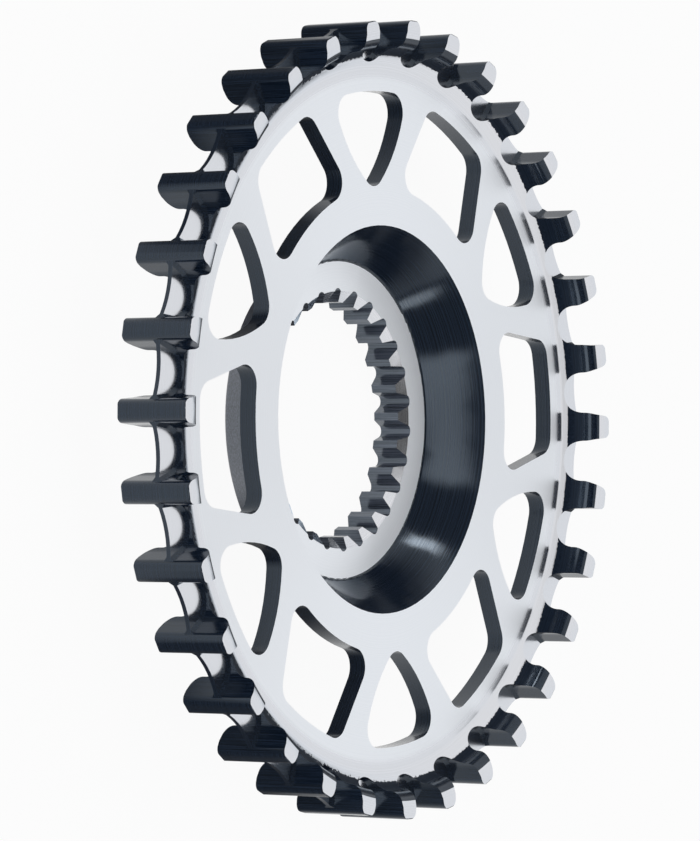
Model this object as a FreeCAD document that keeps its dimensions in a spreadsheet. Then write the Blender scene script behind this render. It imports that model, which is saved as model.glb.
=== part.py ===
import FreeCAD, Part
import math
import os
import Sketcher

# Belt drive sprocket, one machined piece of aluminium.
# Frame: the axis of rotation is +Z, and the origin is on it, in the flat rear face of the hub,
# on which the sprocket lies. The bright face of the disc looks up (+Z).
# A tooth space and a three-sided window are both centred on +Y.

doc = FreeCAD.newDocument("BeltSprocket")


# Driving dimensions in millimetres and degrees

DIMENSIONS = [
    ("tooth_count", 32, "teeth for an 11 mm pitch belt"),
    ("tip_radius", 54.95, "outside radius over the teeth"),
    ("tooth_width", 10.7, "length of a tooth along the axis"),
    ("tooth_plane", 1.0, "middle plane of the teeth below the bright face"),
    ("tip_edge_round", 0.2, "round at both ends of a tooth tip"),
    ("tip_corner_round", 1.2, "round along both sides of a tooth tip"),
    ("tooth_end_radius", 53.3, "inner edge of the flat end of a tooth"),
    ("tooth_bevel_radius", 52.4, "foot of the shallow bevel inside that end"),
    ("tooth_bevel_drop", 0.2, "axial height of the shallow bevel"),
    ("tooth_end_run", 1.7, "axial length of the round under the bevel"),
    ("rim_inner_radius", 51.1, "inside of the tooth ring, beside the disc"),
    ("rim_fillet", 2.4, "round between the disc's bright face and the tooth ring"),
    ("rim_fillet_back", 1.5, "round between the rear of the disc and the tooth ring"),
    ("space_floor_radius", 49.3, "lowest point of a tooth space"),
    ("space_round", 3.4, "radius of the round floor of a tooth space"),
    ("flank_angle", 11.9, "tooth flank against the middle of its space"),
    ("space_bevel", 0.45, "bevel where a tooth space meets the flange"),
    ("flange_thickness", 0.63, "centre flange that guides the belt"),
    ("flange_floor_radius", 53.55, "flange edge in the middle of a space"),
    ("flange_sweep", 12.0, "radius of the flange edge between teeth"),
    ("disc_thickness", 2.5, "web of the sprocket"),
    ("disc_height", 12.2, "bright face of the disc above the hub's rear"),
    ("window_count", 6, "windows of each kind"),
    ("window_outer_radius", 45.3, "outer edge of every window"),
    ("window_inner_radius", 32.2, "inner edge of every window"),
    ("window_corner", 2.7, "corner radius of every window"),
    ("triangle_side_round", 22.0, "bulged sides of the three-sided window"),
    ("triangle_corner_place", 5.61, "middle line to its outer corner centres"),
    ("quad_side_angle", 10.66, "side of the four-sided window"),
    ("quad_side_offset", 16.1, "its sides from the axis, squarely"),
    ("recess_mouth_radius", 26.8, "mouth of the dished hub"),
    ("lip_radius", 25.75, "foot of the lip inside the mouth"),
    ("lip_depth", 1.48, "axial height of the lip"),
    ("recess_floor_radius", 22.25, "outer edge of the hub's front ring"),
    ("recess_floor_round", 0.4, "fillet round the hub's front ring"),
    ("ring_height", 4.9, "hub ring face above the rear face"),
    ("spline_count", 26, "grooves of the splined bore"),
    ("spline_tip_radius", 16.45, "bore over the spline teeth"),
    ("spline_root_radius", 18.3, "bottom of the spline grooves"),
    ("groove_round", 0.9, "radius of the groove bottoms"),
    ("groove_angle", 24.0, "groove side against its middle line"),
    ("spline_phase", 11.15, "first groove, turned from +Y"),
    ("lead_radius", 17.9, "lead-in chamfer at the ring face"),
    ("lead_depth", 0.9, "axial depth of the lead-in chamfer"),
    ("boss_end_radius", 21.9, "outside of the hub at its rear face"),
    ("boss_root_radius", 28.3, "outside of the hub at the disc"),
    ("boss_edge_round", 2.2, "round of the hub's rear outer edge"),
    ("boss_fillet", 1.5, "fillet between hub and rear of the disc"),
]

sheet = doc.addObject("Spreadsheet::Sheet", "Sizes")
size = {}
for row, (alias, number, meaning) in enumerate(DIMENSIONS, start=1):
    sheet.set("A%d" % row, alias)
    sheet.set("B%d" % row, str(number))
    sheet.set("C%d" % row, meaning)
    sheet.setAlias("B%d" % row, alias)
    size[alias] = number
doc.recompute()

body = doc.addObject("PartDesign::Body", "BeltSprocket")
body.Label = "belt_sprocket"
CLEARANCE = 3.0
UP = FreeCAD.Vector(0, 0, 1)


# Helpers for sketches and features

def origin_feature(role):
    for feature in body.Origin.OriginFeatures:
        if feature.Role == role:
            return feature
    raise ValueError("no origin feature " + role)


def new_sketch(name, plane, height=None):
    """Empty sketch on a plane of the body, raised by an expression."""
    sketch = body.newObject("Sketcher::SketchObject", name)
    sketch.AttachmentSupport = [(origin_feature(plane), "")]
    sketch.MapMode = "FlatFace"
    if height:
        sketch.setExpression(".AttachmentOffset.Base.z", height)
    return sketch


class Outline:
    """Adds lines and arcs to a sketch, and joins and measures them."""

    def __init__(self, sketch):
        self.sketch = sketch

    def line(self, start, end, guide=False):
        """Straight line; as a guide it only places other lines."""
        a = FreeCAD.Vector(start[0], start[1], 0)
        b = FreeCAD.Vector(end[0], end[1], 0)
        return self.sketch.addGeometry(Part.LineSegment(a, b), guide)

    def arc(self, centre, radius, first, last):
        """Arc that runs anticlockwise between two angles in radians."""
        middle = FreeCAD.Vector(centre[0], centre[1], 0)
        circle = Part.Circle(middle, UP, radius)
        return self.sketch.addGeometry(Part.ArcOfCircle(circle, first, last), False)

    def circle(self, centre, radius, guide=False):
        """Full circle; as a guide it only places other lines."""
        middle = FreeCAD.Vector(centre[0], centre[1], 0)
        return self.sketch.addGeometry(Part.Circle(middle, UP, radius), guide)

    def rule(self, *words):
        """Geometric constraint."""
        return self.sketch.addConstraint(Sketcher.Constraint(*words))

    def measure(self, expression, *words):
        """Dimension whose value follows the sheet."""
        index = self.rule(*words)
        self.sketch.setExpression("Constraints[%d]" % index, expression)

    def finish(self):
        self.sketch.recompute()
        if not self.sketch.FullyConstrained:
            raise ValueError(self.sketch.Name + " is not fully constrained")
        return self.sketch


START, END, CENTRE = 1, 2, 3
ORIGIN = (-1, 1)
X_AXIS, Y_AXIS = -1, -2


def check_cut(feature, before):
    """Recompute and check that the feature took material away from the solid before it."""
    volume = before.Shape.Volume
    doc.recompute()
    taken = volume - feature.Shape.Volume
    print("%s took %.2f cubic mm" % (feature.Name, taken))
    if taken < 0.1:
        raise ValueError(feature.Name + " cut nothing")


def new_pocket(name, sketch, upward, length=None, taper=None):
    """Pocket from a sketch, through everything unless a length is given."""
    pocket = body.newObject("PartDesign::Pocket", name)
    pocket.Profile = sketch
    pocket.Reversed = upward
    if length:
        pocket.Type = "Length"
        pocket.setExpression("Length", length)
    else:
        pocket.Type = "ThroughAll"
    if taper:
        pocket.setExpression("TaperAngle", taper)
    sketch.Visibility = False
    check_cut(pocket, pocket.BaseFeature)
    return pocket


def polar_pattern(name, features, count):
    pattern = body.newObject("PartDesign::PolarPattern", name)
    pattern.Originals = features
    pattern.Axis = (origin_feature("Z_Axis"), [""])
    pattern.Angle = 360.0
    pattern.setExpression("Occurrences", count)
    body.Tip = pattern
    check_cut(pattern, features[-1])
    return pattern


def ring_edges(shape, radius, height):
    """Names of the round edges about the axis at this radius and height."""
    names = []
    for number, edge in enumerate(shape.Edges, start=1):
        if not isinstance(edge.Curve, Part.Circle):
            continue
        same_radius = abs(edge.Curve.Radius - radius) < 0.01
        if same_radius and abs(edge.Curve.Center.z - height) < 0.01:
            names.append("Edge%d" % number)
    if not names:
        raise ValueError("no edge at radius %.2f, height %.2f" % (radius, height))
    return names


def new_fillet(name, base, rings, radius):
    edges = []
    for ring_radius, height in rings:
        edges += ring_edges(base.Shape, ring_radius, height)
    fillet = body.newObject("PartDesign::Fillet", name)
    fillet.Base = (base, edges)
    fillet.setExpression("Radius", radius)
    doc.recompute()
    return fillet


# Turned blank: dished hub, thin disc and a wide ring for the teeth

disc_top = size["disc_height"]
disc_back = disc_top - size["disc_thickness"]
middle_height = disc_top - size["tooth_plane"]
tooth_top = middle_height + size["tooth_width"] / 2
tooth_back = middle_height - size["tooth_width"] / 2
bevel_top = tooth_top - size["tooth_bevel_drop"]
bevel_back = tooth_back + size["tooth_bevel_drop"]
rim_top = bevel_top - size["tooth_end_run"]
rim_back = bevel_back + size["tooth_end_run"]

MIDDLE = "(Sizes.disc_height - Sizes.tooth_plane)"
TOOTH_TOP = MIDDLE + " + Sizes.tooth_width / 2"
TOOTH_BACK = MIDDLE + " - Sizes.tooth_width / 2"
BEVEL_TOP = TOOTH_TOP + " - Sizes.tooth_bevel_drop"
BEVEL_BACK = TOOTH_BACK + " + Sizes.tooth_bevel_drop"


def underside_arc(outline, direction):
    """Round under one end of the tooth ring, from the ring's inside to the bevel's foot."""
    inner = size["rim_inner_radius"]
    rise = size["tooth_bevel_radius"] - inner
    run = size["tooth_end_run"]
    radius = (rise * rise + run * run) / (2 * rise)
    turn = math.asin(run / radius)
    if direction > 0:
        return outline.arc((inner + radius, rim_top), radius, math.pi - turn, math.pi)
    return outline.arc((inner + radius, rim_back), radius, math.pi, math.pi + turn)


def draw_blank():
    sketch = new_sketch("BlankSection", "XZ_Plane")
    outline = Outline(sketch)
    bore = size["spline_tip_radius"]
    rim = size["rim_inner_radius"]
    tip = size["tip_radius"]
    mouth = size["recess_mouth_radius"]
    ring = size["ring_height"]
    lip_height = disc_top - size["lip_depth"]
    lead_height = ring - size["lead_depth"]
    end_radius = size["tooth_end_radius"]
    bevel_radius = size["tooth_bevel_radius"]

    rear = outline.line((bore, 0), (size["boss_end_radius"], 0))
    shell = outline.line((size["boss_end_radius"], 0), (size["boss_root_radius"], disc_back))
    web_rear = outline.line((size["boss_root_radius"], disc_back), (rim, disc_back))
    rim_rear = outline.line((rim, disc_back), (rim, rim_back))
    round_rear = underside_arc(outline, -1)
    bevel_rear = outline.line((bevel_radius, bevel_back), (end_radius, tooth_back))
    end_rear = outline.line((end_radius, tooth_back), (tip, tooth_back))
    crest = outline.line((tip, tooth_back), (tip, tooth_top))
    end_front = outline.line((tip, tooth_top), (end_radius, tooth_top))
    bevel_front = outline.line((end_radius, tooth_top), (bevel_radius, bevel_top))
    round_front = underside_arc(outline, 1)
    rim_front = outline.line((rim, rim_top), (rim, disc_top))
    web_front = outline.line((rim, disc_top), (mouth, disc_top))
    lip = outline.line((mouth, disc_top), (size["lip_radius"], lip_height))
    dish = outline.line((size["lip_radius"], lip_height), (size["recess_floor_radius"], ring))
    ring_face = outline.line((size["recess_floor_radius"], ring), (size["lead_radius"], ring))
    lead = outline.line((size["lead_radius"], ring), (bore, lead_height))
    wall = outline.line((bore, lead_height), (bore, 0))

    straight = [rear, shell, web_rear, rim_rear]
    for first, second in zip(straight, straight[1:]):
        outline.rule("Coincident", first, END, second, START)
    outline.rule("Tangent", rim_rear, END, round_rear, START)
    straight = [round_rear, bevel_rear, end_rear, crest, end_front, bevel_front, round_front]
    for first, second in zip(straight, straight[1:]):
        outline.rule("Coincident", first, END, second, START)
    outline.rule("Tangent", round_front, END, rim_front, START)
    straight = [rim_front, web_front, lip, dish, ring_face, lead, wall, rear]
    for first, second in zip(straight, straight[1:]):
        outline.rule("Coincident", first, END, second, START)
    for level in (rear, web_rear, end_rear, end_front, web_front, ring_face):
        outline.rule("Horizontal", level)
    for upright in (rim_rear, crest, rim_front, wall):
        outline.rule("Vertical", upright)
    outline.rule("PointOnObject", rear, START, X_AXIS)

    radii = [
        ("spline_tip_radius", rear, START, bore),
        ("boss_end_radius", rear, END, size["boss_end_radius"]),
        ("boss_root_radius", shell, END, size["boss_root_radius"]),
        ("rim_inner_radius", rim_rear, START, rim),
        ("tooth_bevel_radius", bevel_rear, START, bevel_radius),
        ("tooth_end_radius", end_rear, START, end_radius),
        ("tip_radius", crest, START, tip),
        ("tooth_end_radius", end_front, END, end_radius),
        ("tooth_bevel_radius", bevel_front, END, bevel_radius),
        ("rim_inner_radius", rim_front, END, rim),
        ("recess_mouth_radius", web_front, END, mouth),
        ("lip_radius", lip, END, size["lip_radius"]),
        ("recess_floor_radius", dish, END, size["recess_floor_radius"]),
        ("lead_radius", ring_face, END, size["lead_radius"]),
    ]
    for alias, item, point, value in radii:
        outline.measure("Sizes." + alias, "DistanceX", *ORIGIN, item, point, value)
    heights = [
        ("Sizes.disc_height - Sizes.disc_thickness", web_rear, START, disc_back),
        (BEVEL_BACK + " + Sizes.tooth_end_run", rim_rear, END, rim_back),
        (BEVEL_BACK, bevel_rear, START, bevel_back),
        (TOOTH_BACK, end_rear, START, tooth_back),
        (TOOTH_TOP, end_front, START, tooth_top),
        (BEVEL_TOP, bevel_front, END, bevel_top),
        (BEVEL_TOP + " - Sizes.tooth_end_run", rim_front, START, rim_top),
        ("Sizes.disc_height", web_front, START, disc_top),
        ("Sizes.disc_height - Sizes.lip_depth", lip, END, lip_height),
        ("Sizes.ring_height", ring_face, START, ring),
        ("Sizes.ring_height - Sizes.lead_depth", lead, END, lead_height),
    ]
    for expression, item, point, value in heights:
        outline.measure(expression, "DistanceY", *ORIGIN, item, point, value)
    return outline.finish()


def turn_blank():
    sketch = draw_blank()
    blank = body.newObject("PartDesign::Revolution", "Blank")
    blank.Profile = sketch
    blank.ReferenceAxis = (sketch, ["V_Axis"])
    blank.Angle = 360.0
    sketch.Visibility = False
    doc.recompute()

    rim = size["rim_inner_radius"]
    tip = size["tip_radius"]
    tip_rings = [(tip, tooth_top), (tip, tooth_back)]
    step = new_fillet("RimFillet", blank, [(rim, disc_top)], "Sizes.rim_fillet")
    step = new_fillet("RimFilletBack", step, [(rim, disc_back)], "Sizes.rim_fillet_back")
    step = new_fillet("TipEdgeRound", step, tip_rings, "Sizes.tip_edge_round")
    boss_ring = [(size["boss_root_radius"], disc_back)]
    step = new_fillet("BossFillet", step, boss_ring, "Sizes.boss_fillet")
    boss_end = [(size["boss_end_radius"], 0)]
    step = new_fillet("BossEdgeRound", step, boss_end, "Sizes.boss_edge_round")
    floor_ring = [(size["recess_floor_radius"], size["ring_height"])]
    return new_fillet("RecessFillet", step, floor_ring, "Sizes.recess_floor_round")


# Tooth spaces, cut from both sides down to the centre flange

def draw_space(name, height=None):
    """Tooth space across the axis: a floor, straight flanks, rounded tooth tips.

    The floor is round. Without a height the space is the shallow one that shapes the edge of
    the flange: a flat sweep between the rounds of the same two tooth tips.
    """
    outline = Outline(new_sketch(name, "XY_Plane", height))
    angle = math.radians(size["flank_angle"])
    floor = size["space_round"]
    corner = size["tip_corner_round"]
    tip = size["tip_radius"]
    centre_y = size["space_floor_radius"] + floor
    foot = (floor * math.cos(angle), centre_y - floor * math.sin(angle))
    # the corner's centre lies a corner radius inside both the tip circle and the flank
    across = (foot[0] + corner * math.cos(angle), foot[1] - corner * math.sin(angle))
    square = across[0] * math.sin(angle) + across[1] * math.cos(angle)
    offset = across[0] ** 2 + across[1] ** 2 - (tip - corner) ** 2
    along = -square + math.sqrt(square * square - offset)
    corner_x = across[0] + along * math.sin(angle)
    corner_y = across[1] + along * math.cos(angle)
    top = (corner_x - corner * math.cos(angle), corner_y + corner * math.sin(angle))
    lean = math.atan2(corner_y, corner_x)
    crest = (tip * math.cos(lean), tip * math.sin(lean))
    clear = tip + CLEARANCE

    shallow = height is None
    low = sweep_end((corner_x, corner_y), corner) if shallow else math.pi - angle
    right = outline.line(foot, top, shallow)
    left = outline.line((-top[0], top[1]), (-foot[0], foot[1]), shallow)
    right_tip = outline.arc((corner_x, corner_y), corner, lean, low)
    left_tip = outline.arc((-corner_x, corner_y), corner, math.pi - low, math.pi - lean)
    if shallow:
        bottom = outline.circle((0, centre_y), floor, True)
        outline.rule("Tangent", right, START, bottom)
        outline.rule("Tangent", left, END, bottom)
        outline.rule("Tangent", right, END, right_tip)
        outline.rule("Tangent", left, START, left_tip)
        draw_sweep(outline, right_tip, left_tip, (corner_x, corner_y), low)
    else:
        bottom = outline.arc((0, centre_y), floor, math.pi + angle, 2 * math.pi - angle)
        outline.rule("Tangent", bottom, END, right, START)
        outline.rule("Tangent", left, END, bottom, START)
        outline.rule("Tangent", right, END, right_tip, END)
        outline.rule("Tangent", left_tip, START, left, START)
    right_out = outline.line(crest, (crest[0], clear))
    across_top = outline.line((crest[0], clear), (-crest[0], clear))
    left_out = outline.line((-crest[0], clear), (-crest[0], crest[1]))
    circle = outline.circle((0, 0), tip, True)

    outline.rule("Coincident", circle, CENTRE, *ORIGIN)
    outline.measure("Sizes.tip_radius", "Radius", circle, tip)
    outline.rule("PointOnObject", bottom, CENTRE, Y_AXIS)
    outline.measure("Sizes.space_round", "Radius", bottom, floor)
    outline.measure("Sizes.space_floor_radius + Sizes.space_round",
                    "DistanceY", *ORIGIN, bottom, CENTRE, centre_y)
    outline.rule("Tangent", right_tip, START, circle)
    outline.rule("Coincident", right_tip, START, right_out, START)
    outline.rule("Coincident", right_out, END, across_top, START)
    outline.rule("Coincident", across_top, END, left_out, START)
    outline.rule("Coincident", left_out, END, left_tip, END)
    outline.rule("Tangent", left_tip, END, circle)
    outline.rule("Vertical", right_out)
    outline.rule("Vertical", left_out)
    outline.rule("Horizontal", across_top)
    outline.measure("Sizes.flank_angle", "Angle", right, START, Y_AXIS, START, -angle)
    outline.measure("Sizes.tip_corner_round", "Radius", right_tip, corner)
    outline.rule("Equal", right_tip, left_tip)
    outline.rule("Horizontal", right_tip, CENTRE, left_tip, CENTRE)
    outline.measure("Sizes.tip_radius + %s" % CLEARANCE,
                    "DistanceY", *ORIGIN, across_top, START, clear)
    return outline.finish()


def sweep_end(tip_centre, tip_round):
    """Angle about the centre of a tooth tip's round where the flange edge meets the round."""
    sweep = size["flange_sweep"]
    sweep_y = size["flange_floor_radius"] + sweep
    apart = math.hypot(tip_centre[0], tip_centre[1] - sweep_y)
    # corner of the triangle between both centres and the meeting point
    cosine = (apart ** 2 + tip_round ** 2 - sweep ** 2) / (2 * apart * tip_round)
    towards = math.atan2(sweep_y - tip_centre[1], -tip_centre[0])
    return towards + math.acos(cosine)


def draw_sweep(outline, right_tip, left_tip, tip_centre, low):
    """Edge of the flange, one flat arc from the round of one tooth tip to the next."""
    sweep = size["flange_sweep"]
    sweep_y = size["flange_floor_radius"] + sweep
    tip_round = size["tip_corner_round"]
    end_x = tip_centre[0] + tip_round * math.cos(low)
    end_y = tip_centre[1] + tip_round * math.sin(low)
    turn = math.atan2(end_x, sweep_y - end_y)
    edge = outline.arc((0, sweep_y), sweep, 1.5 * math.pi - turn, 1.5 * math.pi + turn)
    outline.rule("PointOnObject", edge, CENTRE, Y_AXIS)
    outline.measure("Sizes.flange_sweep", "Radius", edge, sweep)
    outline.measure("Sizes.flange_floor_radius + Sizes.flange_sweep",
                    "DistanceY", *ORIGIN, edge, CENTRE, sweep_y)
    outline.rule("Coincident", edge, END, right_tip, END)
    outline.rule("Coincident", left_tip, START, edge, START)


def cut_spaces():
    """Front and rear tooth space with their bevels, and the flange's edge, repeated."""
    flange_top = MIDDLE + " + Sizes.flange_thickness / 2"
    flange_back = MIDDLE + " - Sizes.flange_thickness / 2"
    front = draw_space("SpaceFront", flange_top + " + Sizes.space_bevel")
    rear = draw_space("SpaceRear", flange_back + " - Sizes.space_bevel")
    bevel = "-45 deg"
    cuts = [
        new_pocket("CutFront", front, True),
        new_pocket("BevelFront", front, False, "Sizes.space_bevel", bevel),
        new_pocket("CutRear", rear, False),
        new_pocket("BevelRear", rear, True, "Sizes.space_bevel", bevel),
        new_pocket("CutFlangeEdge", draw_space("FlangeEdge"), True),
    ]
    return polar_pattern("ToothSpaces", cuts, "Sizes.tooth_count")


# Windows of the disc, two kinds in turn

def draw_triangle_window():
    """Three-sided window: concentric outer edge, bulged sides, round corner inward."""
    outline = Outline(new_sketch("TriangleWindow", "XY_Plane"))
    outer = size["window_outer_radius"]
    corner = size["window_corner"]
    bulge = size["triangle_side_round"]
    place = size["triangle_corner_place"]
    apex_y = size["window_inner_radius"] + corner
    corner_y = math.sqrt((outer - corner) ** 2 - place ** 2)
    # the side's centre is equally far from the apex centre and the corner centre
    reach = bulge - corner
    half_x = place / 2
    half_y = (corner_y - apex_y) / 2
    half = math.hypot(half_x, half_y)
    back = math.sqrt(reach * reach - half * half)
    side_x = half_x - back * half_y / half
    side_y = apex_y + half_y + back * half_x / half
    low = math.atan2(apex_y - side_y, -side_x)
    high = math.atan2(corner_y - side_y, place - side_x)
    lean = math.atan2(corner_y, place)

    top = outline.arc((0, 0), outer, lean, math.pi - lean)
    right_corner = outline.arc((place, corner_y), corner, high, lean)
    right = outline.arc((side_x, side_y), bulge, low, high)
    apex = outline.arc((0, apex_y), corner, math.pi - low, 2 * math.pi + low)
    left = outline.arc((-side_x, side_y), bulge, math.pi - high, math.pi - low)
    left_corner = outline.arc((-place, corner_y), corner, math.pi - lean, math.pi - high)

    outline.rule("Coincident", top, CENTRE, *ORIGIN)
    outline.measure("Sizes.window_outer_radius", "Radius", top, outer)
    outline.rule("PointOnObject", apex, CENTRE, Y_AXIS)
    outline.measure("Sizes.window_inner_radius + Sizes.window_corner",
                    "DistanceY", *ORIGIN, apex, CENTRE, apex_y)
    outline.measure("Sizes.window_corner", "Radius", right_corner, corner)
    outline.rule("Equal", right_corner, left_corner)
    outline.rule("Equal", right_corner, apex)
    outline.measure("Sizes.triangle_side_round", "Radius", right, bulge)
    outline.rule("Equal", right, left)
    outline.rule("Tangent", top, START, right_corner, END)
    outline.rule("Tangent", right_corner, START, right, END)
    outline.rule("Tangent", right, START, apex, END)
    outline.rule("Tangent", apex, START, left, END)
    outline.rule("Tangent", left, START, left_corner, END)
    outline.rule("Tangent", left_corner, START, top, END)
    outline.measure("Sizes.triangle_corner_place",
                    "DistanceX", *ORIGIN, right_corner, CENTRE, place)
    outline.rule("Horizontal", right_corner, CENTRE, left_corner, CENTRE)
    return outline.finish()


def draw_quad_window():
    """Four-sided window on +Y: both long edges concentric, its sides closer together outward."""
    outline = Outline(new_sketch("QuadWindow", "XY_Plane"))
    outer = size["window_outer_radius"]
    inner = size["window_inner_radius"]
    corner = size["window_corner"]
    angle = math.radians(size["quad_side_angle"])
    normal = (math.cos(angle), math.sin(angle))
    forward = (-math.sin(angle), math.cos(angle))
    inset = size["quad_side_offset"] - corner

    def corner_centre(distance):
        """Point at this distance from the axis and a corner radius inside the side."""
        along = math.sqrt(distance * distance - inset * inset)
        return (inset * normal[0] + along * forward[0], inset * normal[1] + along * forward[1])

    high = corner_centre(outer - corner)
    low = corner_centre(inner + corner)
    high_lean = math.atan2(high[1], high[0])
    low_lean = math.atan2(low[1], low[0])
    high_end = (high[0] + corner * normal[0], high[1] + corner * normal[1])
    low_end = (low[0] + corner * normal[0], low[1] + corner * normal[1])
    turn = math.pi

    top = outline.arc((0, 0), outer, high_lean, turn - high_lean)
    right_high = outline.arc(high, corner, angle, high_lean)
    right = outline.line(low_end, high_end)
    right_low = outline.arc(low, corner, low_lean - turn, angle)
    bottom = outline.arc((0, 0), inner, low_lean, turn - low_lean)
    left_low = outline.arc((-low[0], low[1]), corner, turn - angle, 2 * turn - low_lean)
    left = outline.line((-high_end[0], high_end[1]), (-low_end[0], low_end[1]))
    left_high = outline.arc((-high[0], high[1]), corner, turn - high_lean, turn - angle)

    outline.rule("Coincident", top, CENTRE, *ORIGIN)
    outline.rule("Coincident", bottom, CENTRE, *ORIGIN)
    outline.measure("Sizes.window_outer_radius", "Radius", top, outer)
    outline.measure("Sizes.window_inner_radius", "Radius", bottom, inner)
    outline.measure("Sizes.window_corner", "Radius", right_high, corner)
    for other in (right_low, left_low, left_high):
        outline.rule("Equal", right_high, other)
    outline.rule("Tangent", top, START, right_high, END)
    outline.rule("Tangent", right_high, START, right, END)
    outline.rule("Tangent", right, START, right_low, END)
    outline.rule("Tangent", right_low, START, bottom, START)
    outline.rule("Tangent", bottom, END, left_low, END)
    outline.rule("Tangent", left_low, START, left, END)
    outline.rule("Tangent", left, START, left_high, END)
    outline.rule("Tangent", left_high, START, top, END)
    outline.measure("Sizes.quad_side_offset", "Distance", *ORIGIN, right,
                    size["quad_side_offset"])
    outline.measure("Sizes.quad_side_angle", "Angle", Y_AXIS, START, right, START, angle)
    outline.rule("Horizontal", right_high, CENTRE, left_high, CENTRE)
    outline.rule("Horizontal", right_low, CENTRE, left_low, CENTRE)
    return outline.finish()


def cut_windows():
    triangle = new_pocket("CutTriangle", draw_triangle_window(), True)
    polar_pattern("TriangleWindows", [triangle], "Sizes.window_count")
    sketch = draw_quad_window()
    sketch.setExpression(".AttachmentOffset.Rotation.Angle", "180 / Sizes.window_count")
    quad = new_pocket("CutQuad", sketch, True)
    return polar_pattern("QuadWindows", [quad], "Sizes.window_count")


# Splined bore

def draw_groove():
    """Spline groove on +Y: round bottom and sides that open towards the axis."""
    outline = Outline(new_sketch("SplineGroove", "XY_Plane"))
    angle = math.radians(size["groove_angle"])
    radius = size["groove_round"]
    centre_y = size["spline_root_radius"] - radius
    foot = (radius * math.cos(angle), centre_y + radius * math.sin(angle))
    inner_y = size["spline_tip_radius"] - 1.0
    inner_x = foot[0] + (foot[1] - inner_y) * math.tan(angle)

    root = outline.arc((0, centre_y), radius, angle, math.pi - angle)
    right = outline.line(foot, (inner_x, inner_y))
    mouth = outline.line((inner_x, inner_y), (-inner_x, inner_y))
    left = outline.line((-inner_x, inner_y), (-foot[0], foot[1]))

    outline.rule("PointOnObject", root, CENTRE, Y_AXIS)
    outline.measure("Sizes.groove_round", "Radius", root, radius)
    outline.measure("Sizes.spline_root_radius - Sizes.groove_round",
                    "DistanceY", *ORIGIN, root, CENTRE, centre_y)
    outline.rule("Tangent", root, START, right, START)
    outline.rule("Coincident", right, END, mouth, START)
    outline.rule("Coincident", mouth, END, left, START)
    outline.rule("Tangent", left, END, root, END)
    outline.rule("Horizontal", mouth)
    outline.rule("Equal", left, right)
    outline.measure("Sizes.spline_tip_radius - 1",
                    "DistanceY", *ORIGIN, mouth, START, inner_y)
    outline.measure("Sizes.groove_angle", "Angle", Y_AXIS, START, right, END, angle)
    return outline.finish()


def cut_splines():
    sketch = draw_groove()
    sketch.setExpression(".AttachmentOffset.Rotation.Angle", "Sizes.spline_phase")
    groove = new_pocket("CutGroove", sketch, True)
    return polar_pattern("SplineGrooves", [groove], "Sizes.spline_count")


turn_blank()
cut_windows()
cut_splines()
cut_spaces()
body.Placement = FreeCAD.Placement(FreeCAD.Vector(0, 0, 0), FreeCAD.Rotation())
doc.recompute()


# Check every object, then write the part

for item in doc.Objects:
    if "Invalid" in item.State or "Error" in item.State:
        raise RuntimeError("failed object: " + item.Name)
shape = body.Shape
if shape.isNull() or not shape.isValid() or len(shape.Solids) != 1:
    raise RuntimeError("the body is not one valid solid")

os.makedirs("parts", exist_ok=True)
shape.exportStep("parts/belt_sprocket.step")
box = shape.BoundBox
print("volume %.1f cubic mm, faces %d" % (shape.Volume, len(shape.Faces)))
print("size %.3f x %.3f x %.3f mm" % (box.XLength, box.YLength, box.ZLength))
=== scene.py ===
from collections import namedtuple
import math

import bpy
from mathutils import Matrix, Vector

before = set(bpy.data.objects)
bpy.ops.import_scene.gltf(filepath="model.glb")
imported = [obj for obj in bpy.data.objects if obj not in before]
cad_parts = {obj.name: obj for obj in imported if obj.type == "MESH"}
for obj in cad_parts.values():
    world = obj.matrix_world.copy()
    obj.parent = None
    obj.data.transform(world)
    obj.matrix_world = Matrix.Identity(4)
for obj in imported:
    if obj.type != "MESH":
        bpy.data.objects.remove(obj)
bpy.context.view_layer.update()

# The belt sprocket lies flat on its hub, the bright face of its disc up (+Z).
# Lengths are in metres, on the wheel's own axes. Bearings are in degrees from +X.

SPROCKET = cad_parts["belt_sprocket"]


def toward(bearing, rise):
    """Unit vector from the wheel at this bearing and this many degrees above the floor."""
    turn, lift = math.radians(bearing), math.radians(rise)
    return (math.cos(lift) * math.cos(turn), math.cos(lift) * math.sin(turn), math.sin(lift))


def linear(red, green, blue):
    """Colour as written on a screen, 0 to 255, as the shader's linear colour."""
    channels = [c / 255 for c in (red, green, blue)]
    flat = [c / 12.92 if c <= 0.04045 else ((c + 0.055) / 1.055) ** 2.4 for c in channels]
    return (*flat, 1.0)


# Camera of the photograph

CAMERA_BEARING = 175.8389
CAMERA_RISE = 32.6157
CAMERA_ROLL = 89.5287
CAMERA_AIM = (0.000055, -0.000109, 0.006376)
CAMERA_DISTANCE = 0.6628
CAMERA_LENS = 204.58


def photo_camera():
    """Long lens, rolled so that the wheel stands upright in the picture."""
    data = bpy.data.cameras.new("photo_camera")
    data.sensor_fit = "AUTO"
    data.sensor_width = 36.0
    data.lens = CAMERA_LENS
    data.clip_start = 0.05
    data.clip_end = 20.0
    camera = bpy.data.objects.new("photo_camera", data)
    bpy.context.scene.collection.objects.link(camera)
    back = Vector(toward(CAMERA_BEARING, CAMERA_RISE))
    unrolled = Vector((0.0, 0.0, 1.0)).cross(back).normalized()
    right = Matrix.Rotation(math.radians(CAMERA_ROLL), 3, back) @ unrolled
    place = Matrix((right, back.cross(right), back)).transposed().to_4x4()
    place.translation = Vector(CAMERA_AIM) + CAMERA_DISTANCE * back
    camera.matrix_world = place
    bpy.context.scene.camera = camera


# Small helpers that lay out shader nodes

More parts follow.
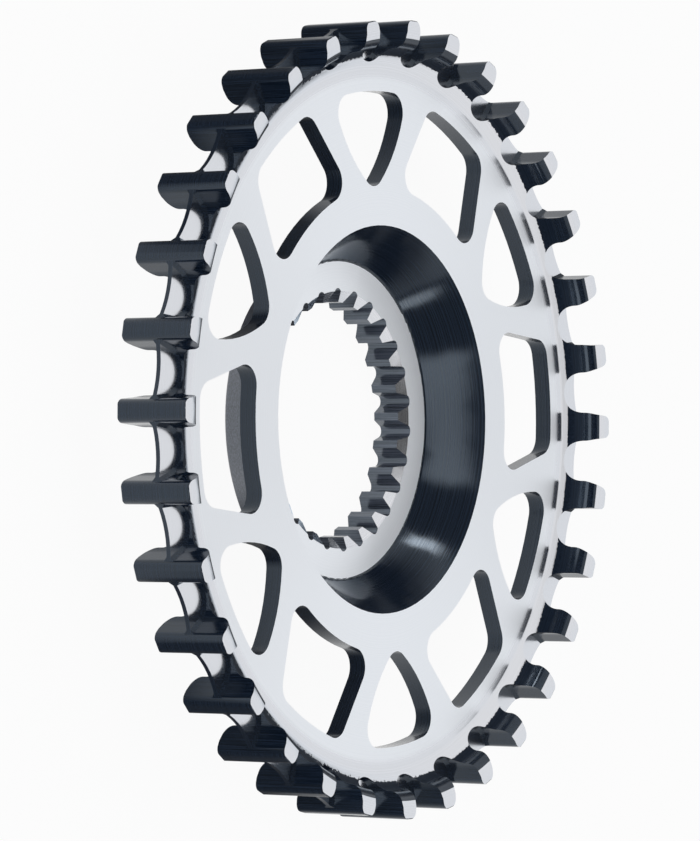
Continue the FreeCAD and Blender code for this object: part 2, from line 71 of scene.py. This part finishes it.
class Shader:
    """Adds nodes to one new material, or to a given world, and joins them in plain steps.

    Wherever a value is asked for, it can be a number, a colour or another node's socket.
    """

    def __init__(self, name, world=None):
        self.material = world or bpy.data.materials.new(name)
        self.material.use_nodes = True
        self.tree = self.material.node_tree
        self.tree.nodes.clear()

    def node(self, kind, **settings):
        made = self.tree.nodes.new(kind)
        for key, value in settings.items():
            setattr(made, key, value)
        return made

    def feed(self, socket, value):
        """Joins a socket to another one, or sets it to a number, a colour or a vector."""
        if isinstance(value, bpy.types.NodeSocket):
            self.tree.links.new(value, socket)
        else:
            socket.default_value = value

    def math(self, operation, first, second=0.0, clamp=False):
        made = self.node("ShaderNodeMath", operation=operation, use_clamp=clamp)
        self.feed(made.inputs[0], first)
        self.feed(made.inputs[1], second)
        return made.outputs[0]

    def times(self, first, *others):
        for other in others:
            first = self.math("MULTIPLY", first, other)
        return first

    def plus(self, first, *others):
        for other in others:
            first = self.math("ADD", first, other)
        return first

    def either(self, first, *others):
        """Mask that holds where one of the given masks does."""
        for other in others:
            first = self.math("ADD", first, other, clamp=True)
        return first

    def above(self, value, limit):
        return self.math("GREATER_THAN", value, limit)

    def below(self, value, limit):
        return self.math("LESS_THAN", value, limit)

    def size(self, value):
        """The value without its sign."""
        return self.math("ABSOLUTE", value)

    def ramp(self, value, low, high, out_low=0.0, out_high=1.0, kind="LINEAR"):
        """Ramp from out_low to out_high between two inputs, flat outside them."""
        made = self.node("ShaderNodeMapRange", clamp=True, interpolation_type=kind)
        self.feed(made.inputs["Value"], value)
        made.inputs["From Min"].default_value = low
        made.inputs["From Max"].default_value = high
        made.inputs["To Min"].default_value = out_low
        made.inputs["To Max"].default_value = out_high
        return made.outputs["Result"]

    def band(self, value, low, high, soft):
        """One inside low..high, zero outside, over a soft edge."""
        rise = self.ramp(value, low - soft, low + soft)
        fall = self.ramp(value, high - soft, high + soft, 1.0, 0.0)
        return self.times(rise, fall)

    def mix(self, kind, factor, first, second):
        made = self.node("ShaderNodeMix", data_type=kind)
        self.feed(made.inputs["Factor"], factor)
        self.feed(made.inputs["A"], first)
        self.feed(made.inputs["B"], second)
        return made.outputs["Result"]

    def blend(self, factor, first, second):
        """Colour between two colours."""
        return self.mix("RGBA", factor, first, second)

    def between(self, factor, first, second):
        """Number between two numbers."""
        return self.mix("FLOAT", factor, first, second)

    def patterned(self, dimensions, entry, place, pattern):
        made = self.node("ShaderNodeTexNoise", noise_dimensions=dimensions)
        self.feed(made.inputs[entry], place)
        for setting, value in zip(("Scale", "Detail", "Roughness"), pattern):
            made.inputs[setting].default_value = value
        return made.outputs["Fac"]

    def noise(self, place, pattern):
        """Noise over a point in space, with a pattern's scale, detail and roughness."""
        return self.patterned("3D", "Vector", place, pattern)

    def lines(self, distance, pattern):
        """Noise that changes along one distance only, and so gives parallel lines or rings."""
        return self.patterned("1D", "W", distance, pattern)

    def split(self, vector):
        """The three parts of a vector."""
        made = self.node("ShaderNodeSeparateXYZ")
        self.feed(made.inputs[0], vector)
        return made.outputs

    def dot(self, vector, direction):
        made = self.node("ShaderNodeVectorMath", operation="DOT_PRODUCT")
        self.feed(made.inputs[0], vector)
        self.feed(made.inputs[1], direction)
        return made.outputs["Value"]

    def bump(self, height, strength, distance, normal=None):
        made = self.node("ShaderNodeBump")
        made.inputs["Strength"].default_value = strength
        made.inputs["Distance"].default_value = distance
        self.feed(made.inputs["Height"], height)
        if normal is not None:
            self.feed(made.inputs["Normal"], normal)
        return made.outputs["Normal"]

    def output(self, kind, surface):
        made = self.node(kind)
        self.feed(made.inputs["Surface"], surface)


# Heights on the wheel, above the hub's rear face

DISC_FACE = 0.0122
TOOTH_END = 0.01655
TOOTH_BEVEL = 0.00024
RING_FACE = 0.0049
FLANGE_FACE = 0.011515
FLANGE_BACK = 0.010885
LEAD_IN_HEIGHTS = (0.0038, 0.0052)
FACE_MARGIN = 0.00003

# Radii on the wheel, from the bore out to the rim

LEAD_IN_OUTER = 0.01795
SPLINE_ROOT = 0.01835
RING_OUTER = 0.0222
HUB_WALL_OUTER = 0.0285
MATT_START, MATT_END = 0.0467, 0.0475
RISE_START, RISE_END = 0.0482, 0.0496
RIM_ROUND_FOOT = 0.0487
DISC_OUTER = 0.0488
FLANK_INNER = 0.0489
RIM_WALL = 0.0511

# Widths over which the edge of a mask fades

CRISP = 0.00002
SOFT = 0.0001

# How far a surface looks up: one is straight up, zero is upright, minus one is straight down.
# A pair of slopes is followed by the softness of its ends.

LEVEL = 0.99
TOOTH_END_LEVEL = 0.96
LEAD_IN_SLOPES = (0.3, 0.985, 0.02)
HUB_WALL_SLOPES = (-0.95, -0.05, 0.03)
STRIP_STEEPEST = 0.5
CORNER_START, CORNER_FULL = 0.05, 0.15
UPRIGHT = 0.2

# A tooth's flank looks less straight outwards than this

FLANK_OUTWARD = 0.8

# The strip that the facing tool leaves up the round at the rim, and the rise of its run-out

# Side is minus one at -X of the wheel and one at +X. Between two sides the strip grows and its
# ragged edge strays less, and near +X it is a little narrower again. This growth with the side
# is a painted reflection: the bright metal reaches farthest up the round away from the camera's
# -X side, least on the camera's side.
STRIP_LEAST, STRIP_MOST = 0.0488, 0.0504
STRAY_MOST, STRAY_LEAST = 0.0022, 0.0005
STRIP_SIDES = (-0.7, 0.2)
STRIP_DIP = -0.00055
DIP_SIDES = (0.70, 0.94)
RISE_HEIGHT = 0.00024

# Tool lines and grain, each as scale, detail and roughness of its noise

RING_LINES = (9000.0, 2.0, 0.6)
TURNED_LINES = (4500.0, 3.0, 0.7)
MILLED_STROKES = (4200.0, 2.0, 0.6)
STROKE_STRETCH = (1.0, 1.0, 0.02)
GRAIN = (5200.0, 2.0, 0.6)
RAGGED_EDGE = (2500.0, 3.0, 0.6)
BLAST_SPECKS = (3200.0, 3.0, 0.7)

# The part of a noise's range over which its lines or specks go from one look to the other

LINES_RANGE = (0.3, 0.7)
SPLINES_RANGE = (0.35, 0.65)
SPECKS_RANGE = (0.40, 0.64)

# Depth of the lines, and how it changes with the place

LINE_DEPTH = 0.00001
LINE_STRENGTH = 0.3
WALL_TIMES = 5.0
BRIGHT_TIMES = 0.3
GRAIN_TIMES = 0.3

# Colours, from one side of a line to the other

SILVER = (linear(222, 223, 225), linear(234, 234, 237))
MATT_SILVER = (linear(243, 245, 247), linear(249, 250, 252))
BLACK = (linear(7, 16, 28), linear(29, 39, 54))
# The bore's grey over the milling strokes is partly a painted reflection of light from the
# camera's side
BORE_BLACK_AND_PAINTED_SHEEN = (linear(44, 48, 57), linear(92, 97, 110))
BLASTED_BLACK = (linear(50, 57, 72), linear(112, 119, 135))
BLASTED_SHARE = 0.75
SHINE_TINT = (0.74, 0.87, 1.0, 1.0)

# Roughness, and how much light the black mirrors

SILVER_ROUGH = (0.15, 0.21)
MATT_ROUGH = 0.42
RING_ROUGH = (0.36, 0.64)
RING_SIDES = (0.3, 0.9)
BLACK_ROUGH = (0.10, 0.18)
BLASTED_ADDS = 0.2
CORNER_ADDS = 0.3
BLACK_SHINE = 0.5
CORNER_SHINE = 0.12
BORE_SHINE = 1.0


class SprocketFinish(Shader):
    """Black anodised aluminium, faced bright after it, with turned and milled tool lines.

    Each mask is one where it holds and zero elsewhere. It is worked out from the place on
    the wheel and from the way the surface leans there.
    """

    def __init__(self):
        super().__init__("sprocket_finish")
        self.find_place()
        self.find_regions()
        self.draw_lines()
        self.bright = self.faced()

    def find_place(self):
        """Where a spot lies on the wheel, and how far its surface looks up and outward."""
        self.point = self.node("ShaderNodeTexCoord").outputs["Object"]
        self.x, self.y, self.z = self.split(self.point)
        squares = self.plus(self.times(self.x, self.x), self.times(self.y, self.y))
        self.radius = self.math("SQRT", squares)
        self.side = self.math("DIVIDE", self.x, self.radius)
        normal = self.node("ShaderNodeNewGeometry").outputs["True Normal"]
        lean_x, lean_y, self.upward = self.split(normal)
        away = self.plus(self.times(lean_x, self.x), self.times(lean_y, self.y))
        self.outward = self.size(self.math("DIVIDE", away, self.radius))

    def find_regions(self):
        """Masks that more than one part of the look needs."""
        self.level = self.above(self.upward, LEVEL)
        self.front = self.above(self.z, DISC_FACE - FACE_MARGIN)
        self.bore = self.below(self.radius, SPLINE_ROOT)
        self.ring = self.times(self.at_face(RING_FACE), self.below(self.radius, RING_OUTER))
        # the hub's outer wall is blasted
        self.blasted = self.times(self.band(self.upward, *HUB_WALL_SLOPES),
                                  self.below(self.radius, HUB_WALL_OUTER))
        # the black above the cut at the rim is dull, as the cutter left it
        self.corner = self.times(self.front,
                                 self.ramp(self.upward, CORNER_START, CORNER_FULL),
                                 self.band(self.radius, RIM_ROUND_FOOT, RIM_WALL, SOFT))
        # flat cuts come out matt, and grow smoother towards the rim
        self.matt = self.times(self.level,
                               self.ramp(self.radius, MATT_START, MATT_END, 1.0, 0.0))

    def draw_lines(self):
        """Rings on the flats, turned lines on slopes and walls, and strokes along the axis
        on the tooth flanks and the splines."""
        self.rings = self.lines(self.radius, RING_LINES)
        turned = self.lines(self.z, TURNED_LINES)
        stretch = self.node("ShaderNodeMapping")
        stretch.inputs["Scale"].default_value = STROKE_STRETCH
        self.feed(stretch.inputs["Vector"], self.point)
        strokes = self.noise(stretch.outputs["Vector"], MILLED_STROKES)
        flank = self.times(self.above(self.radius, FLANK_INNER),
                           self.below(self.outward, FLANK_OUTWARD))
        self.milled = self.either(flank, self.bore)
        flat = self.above(self.size(self.upward), LEVEL)
        self.tool = self.between(flat, self.between(self.milled, turned, strokes), self.rings)

    def at_face(self, height):
        """Mask of what lies at the height of a face."""
        return self.band(self.z, height - FACE_MARGIN, height + FACE_MARGIN, FACE_MARGIN / 3)

    def faced(self):
        """Mask of the bare metal that the facing cut left."""
        disc = self.times(self.at_face(DISC_FACE), self.below(self.radius, DISC_OUTER))
        flats = self.times(self.level, self.either(disc, self.ring, self.at_face(FLANGE_FACE)))
        back = self.times(self.below(self.upward, -LEVEL), self.at_face(FLANGE_BACK))
        return self.either(flats, back, self.lead_in(), self.tooth_ends(), self.rim_strip_with_painted_reflection())

    def lead_in(self):
        """Chamfer at the mouth of the bore."""
        return self.times(self.below(self.radius, LEAD_IN_OUTER),
                          self.band(self.upward, *LEAD_IN_SLOPES),
                          self.band(self.z, *LEAD_IN_HEIGHTS, SOFT))

    def tooth_ends(self):
        """End faces of the teeth with their shallow bevel."""
        foot = TOOTH_END - TOOTH_BEVEL
        return self.times(self.above(self.upward, TOOTH_END_LEVEL),
                          self.ramp(self.z, foot, foot + CRISP))

    def rim_strip_with_painted_reflection(self):
        """The facing cut runs up the round at the rim and ends raggedly. How far it runs with
        the side, least on the camera's -X side, is a painted reflection."""
        # painted reflection: the strip's end moves out with the side, away from the camera
        end = self.plus(self.ramp(self.side, *STRIP_SIDES, STRIP_LEAST, STRIP_MOST),
                        self.ramp(self.side, *DIP_SIDES, 0.0, STRIP_DIP))
        ragged = self.math("SUBTRACT", self.noise(self.point, RAGGED_EDGE), 0.5)
        stray = self.times(ragged, self.ramp(self.side, *STRIP_SIDES, STRAY_MOST, STRAY_LEAST))
        return self.times(self.ramp(self.radius, RIM_ROUND_FOOT, RIM_ROUND_FOOT + CRISP),
                          self.below(self.plus(self.radius, stray), end),
                          self.front, self.above(self.upward, STRIP_STEEPEST))

    def silver(self):
        """Colour of the bare metal."""
        shade = self.ramp(self.rings, *LINES_RANGE)
        smooth = self.blend(shade, *SILVER)
        return self.blend(self.matt, smooth, self.blend(shade, *MATT_SILVER))

    def black(self):
        """Colour of the anodised surfaces: greyer in the bore, partly as a painted reflection,
        dusty on the blasted wall.
        """
        plain = self.blend(self.ramp(self.tool, *LINES_RANGE), *BLACK)
        # painted reflection: the splines are lighter than the black elsewhere
        splines = self.blend(self.ramp(self.tool, *SPLINES_RANGE), *BORE_BLACK_AND_PAINTED_SHEEN)
        specks = self.ramp(self.noise(self.point, BLAST_SPECKS), *SPECKS_RANGE)
        return self.blend(self.times(self.blasted, BLASTED_SHARE),
                          self.blend(self.bore, plain, splines),
                          self.blend(specks, *BLASTED_BLACK))

    def rough_silver(self):
        """Roughness of the bare metal, highest on the hub's ring."""
        smooth = self.ramp(self.rings, *LINES_RANGE, *SILVER_ROUGH)
        return self.between(self.ring, self.between(self.matt, smooth, MATT_ROUGH),
                            self.ramp(self.side, *RING_SIDES, *RING_ROUGH))

    def rough_black(self):
        """Roughness of the black, which is dull on the blasted wall and in the rim's corner."""
        return self.plus(self.ramp(self.tool, *LINES_RANGE, *BLACK_ROUGH),
                         self.times(self.blasted, BLASTED_ADDS),
                         self.times(self.corner, CORNER_ADDS))

    def shine(self):
        """Strength of the black's mirror light."""
        plain = self.between(self.corner, BLACK_SHINE, CORNER_SHINE)
        return self.between(self.bore, plain, BORE_SHINE)

    def relief(self):
        """Normal with the facing tool's run-out, a gentle rise from the smooth band into the
        round at the rim, and with the tool lines, deepest on the walls of windows and teeth."""
        rise = self.ramp(self.radius, RISE_START, RISE_END, 0.0, RISE_HEIGHT, "SMOOTHSTEP")
        run_out = self.bump(self.times(rise, self.front), 1.0, 1.0)
        wall = self.below(self.plus(self.size(self.upward), self.milled), UPRIGHT)
        height = self.plus(self.times(self.tool, self.between(wall, 1.0, WALL_TIMES)),
                           self.times(self.noise(self.point, GRAIN), GRAIN_TIMES))
        height = self.times(height, self.between(self.bright, 1.0, BRIGHT_TIMES))
        return self.bump(height, LINE_STRENGTH, LINE_DEPTH, run_out)

    def around(self):
        """Direction of turning: turned lines blur reflections across themselves."""
        made = self.node("ShaderNodeCombineXYZ")
        self.feed(made.inputs["X"], self.times(self.y, -1.0))
        self.feed(made.inputs["Y"], self.x)
        return made.outputs["Vector"]

    def finished(self):
        """The material, with all of its inputs fed."""
        body = self.node("ShaderNodeBsdfPrincipled")
        inputs = {
            "Base Color": self.blend(self.bright, self.black(), self.silver()),
            "Metallic": self.bright,
            "Roughness": self.between(self.bright, self.rough_black(), self.rough_silver()),
            "Normal": self.relief(),
            "Tangent": self.around(),
            "Specular IOR Level": self.shine(),
            "Specular Tint": SHINE_TINT,
            "IOR": 1.55,
            "Anisotropic": 0.5,
            "Anisotropic Rotation": 0.25,
        }
        for name, value in inputs.items():
            self.feed(body.inputs[name], value)
        self.output("ShaderNodeOutputMaterial", body.outputs[0])
        return self.material


# Smooth shading

MERGE_WITHIN = 2e-7
CREASE_ANGLE = 28.0


def smooth_rounds(piece):
    """Joins the node's loose triangles, rounds and cones shade smoothly and edges stay crisp."""
    group = bpy.data.node_groups.new("smooth_rounds", "GeometryNodeTree")
    group.interface.new_socket("Geometry", in_out="INPUT", socket_type="NodeSocketGeometry")
    group.interface.new_socket("Geometry", in_out="OUTPUT", socket_type="NodeSocketGeometry")
    nodes, links = group.nodes, group.links
    start = nodes.new("NodeGroupInput")
    merge = nodes.new("GeometryNodeMergeByDistance")
    merge.inputs["Distance"].default_value = MERGE_WITHIN
    angle = nodes.new("GeometryNodeInputMeshEdgeAngle")
    gentle = nodes.new("FunctionNodeCompare")
    gentle.data_type = "FLOAT"
    gentle.operation = "LESS_THAN"
    gentle.inputs["B"].default_value = math.radians(CREASE_ANGLE)
    faces = nodes.new("GeometryNodeSetShadeSmooth")
    faces.domain = "FACE"
    edges = nodes.new("GeometryNodeSetShadeSmooth")
    edges.domain = "EDGE"
    end = nodes.new("NodeGroupOutput")
    links.new(start.outputs[0], merge.inputs[0])
    links.new(angle.outputs["Unsigned Angle"], gentle.inputs["A"])
    links.new(merge.outputs[0], faces.inputs["Geometry"])
    links.new(faces.outputs[0], edges.inputs["Geometry"])
    links.new(gentle.outputs["Result"], edges.inputs["Shade Smooth"])
    links.new(edges.outputs[0], end.inputs[0])
    modifier = piece.modifiers.new("smooth_rounds", "NODES")
    modifier.node_group = group
    weights = piece.modifiers.new("flat_faces_lead", "WEIGHTED_NORMAL")
    weights.keep_sharp = True
    weights.weight = 100


# Pale floor

# The floor's painted white reflections, and the lights, are laid out about the camera's bearing.
VIEW_BEARING = 175.9
FLOOR_REACH = 3.0
FLOOR_COLOUR = (0.86, 0.86, 0.86, 1.0)
FLOOR_SEEN = 0.94
# Glow that gloss sees on the floor half-way round to either side: a painted dark reflection
PAINTED_DARK_REFLECTION = 0.12
WHITE_BEFORE = (0.80, 0.92)
WHITE_BEHIND = (0.25, -0.15)


def floor_finish():
    """Pale and matt. Gloss alone sees a glow on it, a painted reflection: white before the wheel
    and behind it, and dim half-way round to either side of the camera."""
    s = Shader("pale_floor")
    diffuse = s.node("ShaderNodeBsdfDiffuse")
    diffuse.inputs["Color"].default_value = FLOOR_COLOUR
    unit = s.node("ShaderNodeVectorMath", operation="NORMALIZE")
    s.feed(unit.inputs[0], s.node("ShaderNodeTexCoord").outputs["Object"])
    facing = s.dot(unit.outputs["Vector"], toward(VIEW_BEARING, 0.0))
    white = s.plus(s.ramp(facing, *WHITE_BEFORE), s.ramp(facing, *WHITE_BEHIND))
    path = s.node("ShaderNodeLightPath")
    gloss = path.outputs["Is Glossy Ray"]
    glow = s.node("ShaderNodeEmission")
    glow.inputs["Color"].default_value = (1.0, 1.0, 1.0, 1.0)
    # painted reflection: gloss sees the floor glow, white or dim by bearing
    s.feed(glow.inputs["Strength"], s.between(gloss, 1.0, s.between(white, PAINTED_DARK_REFLECTION, 1.0)))
    seen = s.math("MAXIMUM", s.times(path.outputs["Is Camera Ray"], FLOOR_SEEN), gloss)
    mix = s.node("ShaderNodeMixShader")
    for socket, value in zip(mix.inputs, (seen, diffuse.outputs[0], glow.outputs[0])):
        s.feed(socket, value)
    s.output("ShaderNodeOutputMaterial", mix.outputs[0])
    return s.material


def floor():
    """Square floor that takes the wheel's shadow."""
    corners = [(-1, -1), (1, -1), (1, 1), (-1, 1)]
    mesh = bpy.data.meshes.new("floor")
    mesh.from_pydata([(x * FLOOR_REACH, y * FLOOR_REACH, 0) for x, y in corners],
                     [], [(0, 1, 2, 3)])
    mesh.materials.append(floor_finish())
    plate = bpy.data.objects.new("floor", mesh)
    bpy.context.scene.collection.objects.link(plate)


# Soft light

# A lamp is a round patch of the sky: the bearing and rise of its middle, the cosines at which
# it starts and is full, its strength, and the two heights between which its straight edge fades.
Lamp = namedtuple("Lamp", "bearing rise start full strength outside inside")

FAR_SKY = Lamp(bearing=VIEW_BEARING + 180.0, rise=0.0, start=-0.02, full=0.06,
               strength=0.75, outside=0.14, inside=0.28)
CAMERA_LAMP = Lamp(bearing=VIEW_BEARING, rise=14.0, start=0.70, full=0.78,
                   strength=2.25, outside=0.555, inside=0.535)
MINUS_Y_LAMP = Lamp(bearing=VIEW_BEARING + 83.0, rise=14.7, start=0.9960, full=0.9990,
                    strength=4.5, outside=0.0, inside=0.1)
PLUS_Y_LAMP = Lamp(bearing=VIEW_BEARING - 85.6, rise=14.7, start=0.9960, full=0.9990,
                   strength=11.5, outside=0.0, inside=0.1)
OVERHEAD = (0.86, 0.96)
SHELL_LIGHT, OVERHEAD_LIGHT = 0.16, 0.03
TENT_COLOUR = (0.97, 0.98, 1.0, 1.0)


def studio():
    """Photo tent with a dim shell, dimmest overhead.

    Beyond the wheel all is white, from just above the floor to overhead. A soft lamp shines
    from the camera's side, and a small bright one from either side.
    """
    world = bpy.data.worlds.new("photo_tent")
    bpy.context.scene.world = world
    s = Shader("photo_tent", world)
    sky = s.node("ShaderNodeTexCoord").outputs["Generated"]
    height = s.split(sky)[2]
    light = s.ramp(height, *OVERHEAD, SHELL_LIGHT, OVERHEAD_LIGHT)
    for lamp in (FAR_SKY, CAMERA_LAMP, MINUS_Y_LAMP, PLUS_Y_LAMP):
        nearness = s.dot(sky, toward(lamp.bearing, lamp.rise))
        patch = s.ramp(nearness, lamp.start, lamp.full, 0.0, lamp.strength, "SMOOTHSTEP")
        light = s.plus(light, s.times(patch, s.ramp(height, lamp.outside, lamp.inside)))
    shade = s.node("ShaderNodeBackground")
    shade.inputs["Color"].default_value = TENT_COLOUR
    s.feed(shade.inputs["Strength"], light)
    s.output("ShaderNodeOutputWorld", shade.outputs[0])


photo_camera()
floor()
studio()
smooth_rounds(SPROCKET)
SPROCKET.data.materials.clear()
SPROCKET.data.materials.append(SprocketFinish().finished())

bpy.context.scene.view_settings.view_transform = "Standard"
